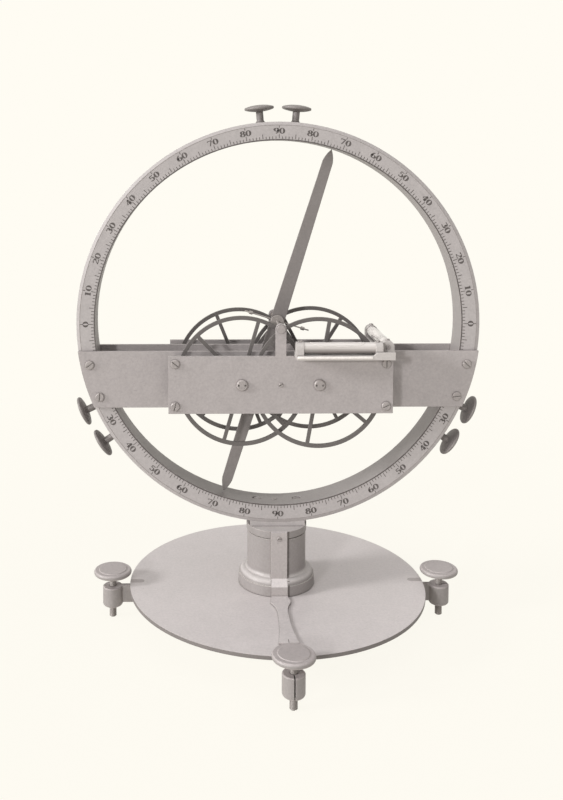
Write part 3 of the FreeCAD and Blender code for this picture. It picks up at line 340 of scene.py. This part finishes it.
# The bubble's colours also carry painted shade below and painted light above
BUBBLE = glass("bubble_glass", (186, 179, 175), (200, 193, 189), (216, 209, 205))


def dress_nodes():
    """Give every node of the model the material of its slot in the record."""
    for part in frame["record"]["subparts"]:
        mesh = frame["nodes"][part["node"]].data
        if not mesh.materials:
            mesh.materials.append(None)
        for place in range(len(mesh.materials)):
            mesh.materials[place] = MATERIALS[part["material_slot"]]
    frame["nodes"]["index"].data.materials[0] = INDEX_METAL


# Meshes

def piece(name, build, body, material, smooth=False):
    """A new mesh object: build(mesh) fills it, and it rides on a body."""
    mesh = bmesh.new()
    build(mesh)
    bmesh.ops.recalc_face_normals(mesh, faces=mesh.faces)
    data = bpy.data.meshes.new(name)
    mesh.to_mesh(data)
    mesh.free()
    data.materials.append(material)
    for face in data.polygons:
        face.use_smooth = smooth
    thing = bpy.data.objects.new(name, data)
    bpy.context.scene.collection.objects.link(thing)
    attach(thing, body)
    return thing


def join_rows(mesh, rows, closed=False):
    """Faces between rows of vertices that each run round a section. closed joins last to first."""
    pairs = list(zip(rows, rows[1:]))
    if closed:
        pairs.append((rows[-1], rows[0]))
    for here, after in pairs:
        for place in range(len(here)):
            following = (place + 1) % len(here)
            mesh.faces.new((here[place], here[following], after[following], after[place]))


def tube(mesh, rows):
    """A closed solid: the rows joined, with a face over each end."""
    join_rows(mesh, rows)
    mesh.faces.new(list(reversed(rows[0])))
    mesh.faces.new(rows[-1])


def on_dial(angle, radius, side=0.0, lift=0.0):
    """A point on the dial's face, side being a shift across the radius, clockwise as seen."""
    out = Vector((math.cos(angle), 0, math.sin(angle)))
    across = Vector((math.sin(angle), 0, -math.cos(angle)))
    return Vector((0, RING_FACE - lift, RING_CENTRE)) + out * radius + across * side


def plaque(mesh, outline, depth):
    """A flat closed shape a little thicker than nothing: outline points lie on its face."""
    back = [mesh.verts.new(point + Vector((0, depth, 0))) for point in outline]
    front = [mesh.verts.new(point) for point in outline]
    mesh.faces.new(front)
    mesh.faces.new(list(reversed(back)))
    for place in range(len(front)):
        after = (place + 1) % len(front)
        mesh.faces.new((front[place], back[place], back[after], front[after]))


MARK_LIFT = 0.05 * MM
MARK_DEPTH = 0.09 * MM
TICK_HALF = 0.27 * MM

# Where marks start and end, from the dial's inner edge
DEGREE_MARK = (1.2 * MM, 3.3 * MM)
FIVE_MARK = (1.6 * MM, 5.4 * MM)
TEN_MARK = (10.3 * MM, 12.3 * MM)

INNER_LINE = RING_INNER + 0.55 * MM
INNER_LINE_WIDTH = 1.0 * MM
OUTER_LINE = RING_RADIUS - 2.85 * MM
OUTER_LINE_WIDTH = 0.4 * MM


def ticks(mesh):
    """Degrees along the inner edge, longer at every five, and a short mark past each ten."""
    for degree in range(360):
        angle = math.radians(degree)
        spans = [FIVE_MARK if degree % 5 == 0 else DEGREE_MARK]
        if degree % 10 == 0:
            spans.append(TEN_MARK)
        for low, high in spans:
            corners = ((low, -TICK_HALF), (low, TICK_HALF), (high, TICK_HALF), (high, -TICK_HALF))
            plaque(mesh, [on_dial(angle, RING_INNER + out, side, MARK_LIFT)
                          for out, side in corners], MARK_DEPTH)


def circle_line(mesh, radius, width, steps=360):
    """A thin ring on the dial's face."""
    corners = ((-1, MARK_LIFT - MARK_DEPTH), (-1, MARK_LIFT), (1, MARK_LIFT),
               (1, MARK_LIFT - MARK_DEPTH))
    rows = []
    for step in range(steps):
        angle = 2 * math.pi * step / steps
        rows.append([mesh.verts.new(on_dial(angle, radius + out * width / 2, 0, lift))
                     for out, lift in corners])
    join_rows(mesh, rows, closed=True)


# Painted shade along the dial's inner edge, drawn as a dark ring of engraving fill
def inner_edge_shade(mesh):
    circle_line(mesh, INNER_LINE, INNER_LINE_WIDTH)


def outer_line(mesh):
    circle_line(mesh, OUTER_LINE, OUTER_LINE_WIDTH)


# Figures: strokes in a box 0.6 wide and 1 high, each a run of (x, y, half width)

THICK = 0.115
THIN = 0.045


def bowl(x, y, wide, high, start, end, steps=18):
    """An arc about a centre, thick where it runs upright and thin where it runs level."""
    run = []
    for step in range(steps + 1):
        angle = math.radians(start + (end - start) * step / steps)
        weight = THIN + (THICK - THIN) * abs(math.cos(angle)) ** 1.6
        run.append((x + wide * math.cos(angle), y + high * math.sin(angle), weight))
    return run


def stroke(x1, y1, x2, y2, half):
    return [(x1, y1, half), (x2, y2, half)]


FIGURES = {
    "0": [bowl(0.30, 0.50, 0.215, 0.475, 0, 360)],
    "1": [stroke(0.31, 0.02, 0.31, 0.98, THICK), stroke(0.12, 0.86, 0.31, 0.96, THIN),
          stroke(0.12, 0.025, 0.50, 0.025, THIN)],
    "2": [bowl(0.28, 0.72, 0.20, 0.25, 165, -40), stroke(0.43, 0.56, 0.08, 0.06, 0.04),
          stroke(0.06, 0.06, 0.53, 0.06, 0.06), stroke(0.53, 0.06, 0.55, 0.22, THIN)],
    "3": [bowl(0.27, 0.75, 0.17, 0.225, 150, -85), bowl(0.27, 0.28, 0.21, 0.255, 88, -150)],
    "4": [stroke(0.40, 0.96, 0.04, 0.28, THIN), stroke(0.04, 0.28, 0.57, 0.28, THIN),
          stroke(0.41, 0.02, 0.41, 0.96, THICK), stroke(0.26, 0.025, 0.55, 0.025, THIN)],
    "5": [stroke(0.12, 0.92, 0.50, 0.92, 0.06), stroke(0.13, 0.92, 0.12, 0.54, THIN),
          bowl(0.27, 0.32, 0.21, 0.295, 125, -150)],
    "6": [bowl(0.30, 0.30, 0.205, 0.275, 0, 360), bowl(0.42, 0.42, 0.32, 0.55, 98, 186)],
    "7": [stroke(0.06, 0.92, 0.54, 0.92, 0.06), stroke(0.52, 0.90, 0.24, 0.02, 0.065),
          stroke(0.06, 0.92, 0.06, 0.76, THIN)],
    "8": [bowl(0.30, 0.745, 0.165, 0.225, 0, 360), bowl(0.30, 0.27, 0.21, 0.25, 0, 360)],
    "9": [bowl(0.30, 0.70, 0.205, 0.275, 0, 360), bowl(0.18, 0.58, 0.32, 0.55, -82, 6)],
}
FIGURE_HEIGHT = 4.7 * MM
FIGURE_WIDTH = 7.6 * MM
FIGURE_STEP = 4.8 * MM
UPPER_FOOT = 5.5 * MM
LOWER_FOOT = 10.2 * MM


def ribbon(mesh, run, place):
    """A stroke as a thin raised strip. place turns figure coordinates into a point on the dial."""
    left, right = [], []
    for step, (x, y, half) in enumerate(run):
        x0, y0, _ = run[max(step - 1, 0)]
        x1, y1, _ = run[min(step + 1, len(run) - 1)]
        size = math.hypot(x1 - x0, y1 - y0) or 1.0
        across = (-(y1 - y0) / size * half, (x1 - x0) / size * half)
        left.append((x + across[0], y + across[1]))
        right.append((x - across[0], y - across[1]))
    rows = []
    for first, second in zip(left, right):
        rows.append([mesh.verts.new(place(*first, MARK_LIFT - MARK_DEPTH)),
                     mesh.verts.new(place(*first, MARK_LIFT)),
                     mesh.verts.new(place(*second, MARK_LIFT)),
                     mesh.verts.new(place(*second, MARK_LIFT - MARK_DEPTH))])
    tube(mesh, rows)


def figures(mesh):
    """Numbers at every ten degrees, from 0 at the level line to 90 above and below."""
    for ten in range(36):
        angle = math.radians(ten * 10)
        word = str(10 * min(ten % 18, 18 - ten % 18))
        upper = ten <= 18
        base = RING_INNER + (UPPER_FOOT if upper else LOWER_FOOT)
        for index, figure in enumerate(word):
            middle = (index - (len(word) - 1) / 2) * FIGURE_STEP

            def place(x, y, lift):
                side = middle + (x - 0.3) * FIGURE_WIDTH
                rise = y * FIGURE_HEIGHT
                if upper:
                    return on_dial(angle, base + rise, side, lift)
                return on_dial(angle, base - rise, -side, lift)

            for run in FIGURES[figure]:
                ribbon(mesh, run, place)


def dial():
    piece("dial_ticks", ticks, "alidade", ENGRAVING_FILL_AND_EDGE_SHADE)
    piece("dial_inner_line", inner_edge_shade, "alidade", ENGRAVING_FILL_AND_EDGE_SHADE)
    piece("dial_outer_line", outer_line, "alidade", SOFT_WAX)
    piece("dial_figures", figures, "alidade", ENGRAVING_FILL_AND_EDGE_SHADE)


# Threads of the levelling screws

THREAD_PITCH = 1.0 * MM
THREAD_DEPTH = 0.42 * MM
TIP_RADIUS = 2.4 * MM
TIP_LENGTH = 0.8 * MM


def thread(mesh, centre, low, high, radius, around=28, layers=8):
    """A screw with a real helical thread, flat at the top and tapered to a rounded tip.
    around is the points in a turn, and layers is the rings in a pitch."""
    start = low + TIP_LENGTH
    rings = []
    for share, size in ((0, TIP_RADIUS * 0.75), (0.25, TIP_RADIUS), (0.7, (TIP_RADIUS + radius) / 2)):
        rings.append([(size, low + TIP_LENGTH * share)] * around)
    total = int((high - start) / THREAD_PITCH * layers)
    for step in range(total + 1):
        height = start + (high - start) * step / total
        fade = max(min(1.0, (high - height) / (THREAD_PITCH / 2), (height - start) / (THREAD_PITCH / 2)),
                   0.0)
        ring = []
        for turn in range(around):
            phase = (height / THREAD_PITCH - turn / around) % 1.0
            groove = abs(2 * phase - 1)
            ring.append((radius - THREAD_DEPTH * groove * fade, height))
        rings.append(ring)
    rows = []
    for ring in rings:
        angles = (2 * math.pi * turn / around for turn in range(around))
        rows.append([mesh.verts.new((centre.x + size * math.cos(angle),
                                     centre.y + size * math.sin(angle), height))
                     for angle, (size, height) in zip(angles, ring)])
    tube(mesh, rows)


def foot_threads():
    for side in ("right", "rear", "left", "front"):
        node = "foot_screw_" + side
        low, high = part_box(node)

        def build(mesh):
            thread(mesh, middle_of(node), low.z, high.z, (high.x - low.x) / 2)

        screw = piece("foot_thread_" + side, build, node, MATERIALS["thread_metal"],
                      smooth=True)
        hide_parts(node)


# Levels: the bubble in each vial, and small screws that adjust them

BUBBLE_SPREAD = 1.05
BUBBLE_CROWN = 0.12 * MM
RIM_HALF = 0.34 * MM


def bubble_side(share):
    """The half angle that a bubble covers round its vial, with slightly wavy long sides.
    share runs from -1 to 1 along the bubble."""
    ends = max(1 - abs(share) ** 5, 0.0) ** 0.5
    wave = 1 + 0.07 * math.sin(share * 8.0) + 0.04 * math.sin(share * 19.0 + 1.0)
    return BUBBLE_SPREAD * ends * wave, ends


def round_vial(vial, share, turn, lift):
    """A point just outside a vial (middle, along, radius, half length), turn from its top."""
    middle, along, radius, run = vial
    out = UP * math.cos(turn) + along.cross(UP) * math.sin(turn)
    return middle + along * (run * share) + out * (radius + lift)


def bubble(mesh, vial, columns=48, across=12):
    """A shallow pillow over the top of a vial."""
    rows = []
    for column in range(columns + 1):
        share = 2 * column / columns - 1
        half, ends = bubble_side(share)
        sides = [2 * row / across - 1 for row in range(across + 1)]
        upper = [mesh.verts.new(round_vial(vial, share, half * side,
                                           0.03 * MM + BUBBLE_CROWN * (1 - side ** 2) * ends))
                 for side in sides]
        lower = [mesh.verts.new(round_vial(vial, share, half * side, -0.05 * MM)) for side in sides]
        rows.append(upper + lower[::-1])
    join_rows(mesh, rows)
    for row in (rows[0], rows[-1]):
        for place in range(across):
            mesh.faces.new((row[place], row[place + 1], row[-place - 2], row[-place - 1]))


def bubble_highlight_cord(mesh, vial, steps=150, around=6):
    """A painted highlight where the bubble meets the spirit: a thin flat cord of pale metal along its
    outline.
    """
    places = []
    for step in range(steps):
        phase = 2 * math.pi * step / steps
        share = math.sin(phase) * 0.995
        places.append((share, bubble_side(share)[0] * (1 if math.cos(phase) >= 0 else -1)))
    points = [round_vial(vial, share, half, 0.05 * MM) for share, half in places]
    rows = []
    for step, point in enumerate(points):
        ahead = (points[(step + 1) % steps] - points[step - 1]).normalized()
        out = round_vial(vial, *places[step], 1.0) - point
        out = (out - ahead * out.dot(ahead)).normalized()
        side = ahead.cross(out)
        turns = (2 * math.pi * k / around for k in range(around))
        offsets = (out * math.cos(turn) / 2 + side * math.sin(turn) for turn in turns)
        rows.append([mesh.verts.new(point + offset * RIM_HALF) for offset in offsets])
    join_rows(mesh, rows, closed=True)


SLOT_SHARE = 0.17


def small_screw(mesh, foot, axis, radius, height, slot_angle=0.6, around=28):
    """A round head on a surface: a low drum with two raised halves and a slot between them.
    foot is the middle of its base, and SLOT_SHARE is the slot's width over the head's."""
    axis = axis.normalized()
    first = axis.orthogonal().normalized()
    second = axis.cross(first)
    first, second = (first * math.cos(slot_angle) + second * math.sin(slot_angle),
                     second * math.cos(slot_angle) - first * math.sin(slot_angle))

    def drum(outline, low, high):
        rings = []
        for lift, shrink in ((low, 1.0), (low + (high - low) * 0.7, 1.0), (high, 0.86)):
            rings.append([mesh.verts.new(foot + axis * lift + (first * x + second * y) * shrink)
                          for x, y in outline])
        tube(mesh, rings)

    whole = [2 * math.pi * k / around for k in range(around)]
    drum([(radius * math.cos(turn), radius * math.sin(turn)) for turn in whole],
         -0.05 * MM, height * 0.45)
    limit = math.asin(SLOT_SHARE)
    arc = [limit + (math.pi - 2 * limit) * k / 12 for k in range(13)]
    inside = radius * 0.99
    for hand in (1, -1):
        drum([(inside * math.cos(turn), hand * inside * math.sin(turn)) for turn in arc],
             height * 0.4, height)


def bubbles():
    """A bubble and the painted highlight along its rim in each vial. share is how much of the vial the
    bubble takes.
    """
    for name, along, shift, share in (("front", Vector((1, 0, 0)), -1.5 * MM, 0.68),
                                      ("cross", Vector((0, 1, 0)), 0.0, 0.5)):
        low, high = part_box(name + "_level_vial")
        size = high - low
        vial = ((low + high) / 2 + along * shift, along, size.z / 2, size.dot(along) / 2 * share)

        def pillow(mesh):
            bubble(mesh, vial)

        def rim(mesh):
            bubble_highlight_cord(mesh, vial)

        piece(name + "_bubble", pillow, "alidade", BUBBLE, smooth=True)
        piece(name + "_bubble_highlight_cord", rim, "alidade", PAINTED_HIGHLIGHT_METAL, smooth=True)


CROSS_CAP_FRONT = -41.0 * MM
CROSS_CAP_REAR = 35.4 * MM
CROSS_CAP_HALF = 3.5 * MM


def level_cap_screws():
    """Small slotted screws on the levels' end caps and beside the corner of the rails."""
    caps_low, caps_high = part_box("level_end_caps")
    front, cross = middle_of("front_level_vial"), middle_of("cross_level_vial")
    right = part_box("front_level_vial")[1].x
    top = caps_high.z
    # Each has its place, axis, radius, height and the turn of its slot
    spots = [
        (Vector((caps_low.x + 3.3 * MM, front.y, top)), UP, 1.8 * MM, 0.9 * MM, 0.4),
        (Vector((right - 0.2 * MM, front.y, top)), UP, 1.6 * MM, 0.9 * MM, 1.1),
        (Vector((cross.x, CROSS_CAP_FRONT + CROSS_CAP_HALF, top)), UP, 1.8 * MM, 0.9 * MM, 2.0),
        (Vector((cross.x, CROSS_CAP_REAR - CROSS_CAP_HALF, top)), UP, 1.8 * MM, 0.9 * MM, 0.9),
        (Vector((cross.x, CROSS_CAP_FRONT, cross.z)), FORWARD, 1.9 * MM, 0.8 * MM, 0.2),
    ]

    def build(mesh):
        for foot, axis, radius, height, slot_angle in spots:
            small_screw(mesh, foot, axis, radius, height, slot_angle)

    piece("level_cap_screws", build, "alidade", MATERIALS["screw_metal"])


BEAD_DEPTH = 0.85 * MM
BEAD_HALF = 1.2 * MM
BEAD_SUNK = 0.2 * MM
BEAD_RISE = 2.0 * MM
BEAD_INSET = 0.5 * MM
BEAD_TAPER = 0.4 * MM
LIP_RUN = 18.2 * MM


def rail_bead():
    """A half-round moulding along the front edge of the front level's rail, up to the lip, coloured pale
    as a painted highlight.
    """
    low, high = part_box("front_level_rail")
    start, end = low.x + BEAD_INSET, high.x - LIP_RUN
    middle = low.z + BEAD_RISE

    def build(mesh, around=10):
        rows = []
        for x, size in ((start, 0.6), (start + BEAD_TAPER, 1.0), (end - BEAD_TAPER, 1.0), (end, 0.6)):
            turns = (math.pi * k / around for k in range(around + 1))
            rows.append([mesh.verts.new((x, low.y + BEAD_SUNK - math.sin(turn) * BEAD_DEPTH * size,
                                         middle + math.cos(turn) * BEAD_HALF * size))
                         for turn in turns])
        tube(mesh, rows)

    piece("rail_bead", build, "alidade", PAINTED_HIGHLIGHT_METAL)


# The column and what lies on it

STRIP_HALF = 6.72 * MM
STRIP_SHADOW_WIDTH = 1.9 * MM
STRIP_SHADOW_LIFT = 0.1 * MM


def column_profile():
    """Radius and height along the column's front, from its foot over the moulding to its rim."""
    low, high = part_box("column")
    from_foot = ((32.0, 0.0), (32.0, 8.5), (31.2, 8.6), (29.9, 11.9), (26.4, 13.3), (25.3, 14.6),
                 (24.8, 17.7))
    from_rim = ((24.8, -5.6), (25.5, -5.4), (25.5, 0.0))
    return ([(radius * MM, low.z + rise * MM) for radius, rise in from_foot]
            + [(radius * MM, high.z + rise * MM) for radius, rise in from_rim])


def strip_shadow_sheet():
    """Painted shadow beside the index strip: a dark band on the column along the strip's right side,
    where its shadow falls.
    """
    corners = ((STRIP_HALF, -STRIP_SHADOW_LIFT), (STRIP_HALF, STRIP_SHADOW_LIFT),
               (STRIP_HALF + STRIP_SHADOW_WIDTH, STRIP_SHADOW_LIFT), (STRIP_HALF + STRIP_SHADOW_WIDTH, -STRIP_SHADOW_LIFT))

    def build(mesh):
        tube(mesh, [[mesh.verts.new((x, -math.sqrt((radius + lift) ** 2 - x * x), height))
                     for x, lift in corners] for radius, height in column_profile()])

    piece("strip_shadow_sheet", build, "alidade", STRIP_SHADOW_PAINT)


PIN_SHIFT = -2.2 * MM
PIN_RADIUS = 2.2 * MM
PIN_HEIGHT = 0.42 * MM


def ring_pin():
    """The small middle screw in the lowest part of the ring's inner wall."""
    foot = Vector((PIN_SHIFT, 0, RING_CENTRE - RING_INNER))

    def build(mesh):
        small_screw(mesh, foot, UP, PIN_RADIUS, PIN_HEIGHT, 0.3)

    piece("ring_pin", build, "alidade", MATERIALS["screw_metal"])


POINTER_THICKNESS = 1.2 * MM
INDEX_LINE = (0.4 * MM, 5.0 * MM)
INDEX_LINE_HALF = 0.25 * MM


def index_line():
    """A short engraved line near the end of the pointer."""
    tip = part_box("index")[0].y
    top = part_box("column")[0].z + POINTER_THICKNESS
    start, end = tip + INDEX_LINE[0], tip + INDEX_LINE[1]
    corners = ((-INDEX_LINE_HALF, start), (INDEX_LINE_HALF, start), (INDEX_LINE_HALF, end),
               (-INDEX_LINE_HALF, end))

    def build(mesh):
        tube(mesh, [[mesh.verts.new((x, y, top + lift)) for x, y in corners]
                    for lift in (MARK_LIFT - MARK_DEPTH, MARK_LIFT)])

    piece("index_line", build, "alidade", ENGRAVING_FILL_AND_EDGE_SHADE)


# Floor, light and camera

FLOOR_RADIUS = 6.0
FLOOR_DROP = 0.2 * MM
FLOOR_COLOUR = (236, 233, 225)
SKY_STRENGTH = 0.36


def floor_material():
    """Pale and lit near the object, where its shadow falls, and paper-coloured away from it."""
    material = bpy.data.materials.new("floor")
    material.use_nodes = True
    tree = material.node_tree
    tree.nodes.clear()
    place, x, y, z = coordinates(tree)
    away = remap(tree, length(tree, x, y), 0.25, 0.8, 0.94, 1.0)
    plain = add(tree, "BsdfDiffuse", Color=linear(FLOOR_COLOUR))
    glow = add(tree, "Emission", Color=linear(PAPER), Strength=1.0)
    share = maths(tree, "MULTIPLY", away, seen_share(tree))
    both = add(tree, "MixShader", i0=share, i1=plain.outputs[0], i2=glow.outputs[0])
    add(tree, "OutputMaterial", Surface=both.outputs[0])
    return material


def floor():
    """A pale sheet under the feet that melts into the background away from them."""
    mesh = bmesh.new()
    bmesh.ops.create_circle(mesh, cap_ends=True, segments=96, radius=FLOOR_RADIUS)
    data = bpy.data.meshes.new("floor")
    mesh.to_mesh(data)
    mesh.free()
    data.materials.append(floor_material())
    sheet = bpy.data.objects.new("floor", data)
    bpy.context.scene.collection.objects.link(sheet)
    sheet.location.z = -FLOOR_DROP


def seen_share(tree):
    """1 for rays from the camera, from gloss and through glass, else 0."""
    rays = add(tree, "LightPath").outputs
    return maths(tree, "MAXIMUM", maths(tree, "MAXIMUM", rays["Is Camera Ray"], rays["Is Glossy Ray"]),
                 rays["Is Transmission Ray"])


def world():
    """Soft light from all round, seen as plain paper."""
    sky = bpy.data.worlds.new("paper")
    bpy.context.scene.world = sky
    sky.use_nodes = True
    tree = sky.node_tree
    tree.nodes.clear()
    lit = add(tree, "Background", Color=(1.0, 0.99, 0.985, 1.0),
              Strength=SKY_STRENGTH)
    shown = add(tree, "Background", Color=linear(PAPER), Strength=1.0)
    both = add(tree, "MixShader", i0=seen_share(tree), i1=lit.outputs[0], i2=shown.outputs[0])
    add(tree, "OutputWorld", Surface=both.outputs[0])


def sun(name, azimuth, elevation, energy, spread):
    """A sun. Azimuth is its place seen from above: 0 in front of the dial, 90 to its left."""
    lamp = bpy.data.lights.new(name, "SUN")
    lamp.energy = energy
    lamp.angle = math.radians(spread)
    thing = bpy.data.objects.new(name, lamp)
    bpy.context.scene.collection.objects.link(thing)
    around, up = math.radians(azimuth), math.radians(elevation)
    towards = Vector((-math.sin(around) * math.cos(up), -math.cos(around) * math.cos(up),
                      math.sin(up)))
    thing.rotation_euler = towards.to_track_quat("Z", "Y").to_euler()


def lights():
    """A sun before the dial, a stronger low one at its left for long shadows, a soft one above."""
    world()
    sun("front_light", azimuth=30, elevation=15, energy=1.1, spread=5)
    sun("side_light", azimuth=75, elevation=20, energy=2.3, spread=12)
    sun("overhead", azimuth=0, elevation=80, energy=0.85, spread=60)


EYE = (-0.0737, -0.8028, 0.3963)
YAW = math.radians(0.685)
PITCH = math.radians(2.78)
LENS = 42.97
SHIFT = (0.1, -0.25)


def camera():
    """The view fitted to the photograph, looking a little down and to the right."""
    lens = bpy.data.cameras.new("camera")
    lens.lens = LENS
    lens.sensor_width = 36.0
    lens.shift_x, lens.shift_y = SHIFT
    lens.clip_start = 0.01
    lens.clip_end = 50
    thing = bpy.data.objects.new("camera", lens)
    bpy.context.scene.collection.objects.link(thing)
    thing.location = EYE
    gaze = Vector((math.sin(YAW) * math.cos(PITCH), math.cos(YAW) * math.cos(PITCH),
                   -math.sin(PITCH)))
    thing.rotation_euler = gaze.to_track_quat("-Z", "Y").to_euler()
    bpy.context.scene.camera = thing


dress_nodes()
dial()
foot_threads()
bubbles()
level_cap_screws()
rail_bead()
strip_shadow_sheet()
ring_pin()
index_line()
floor()
lights()
camera()
bpy.context.scene.view_settings.view_transform = "Standard"
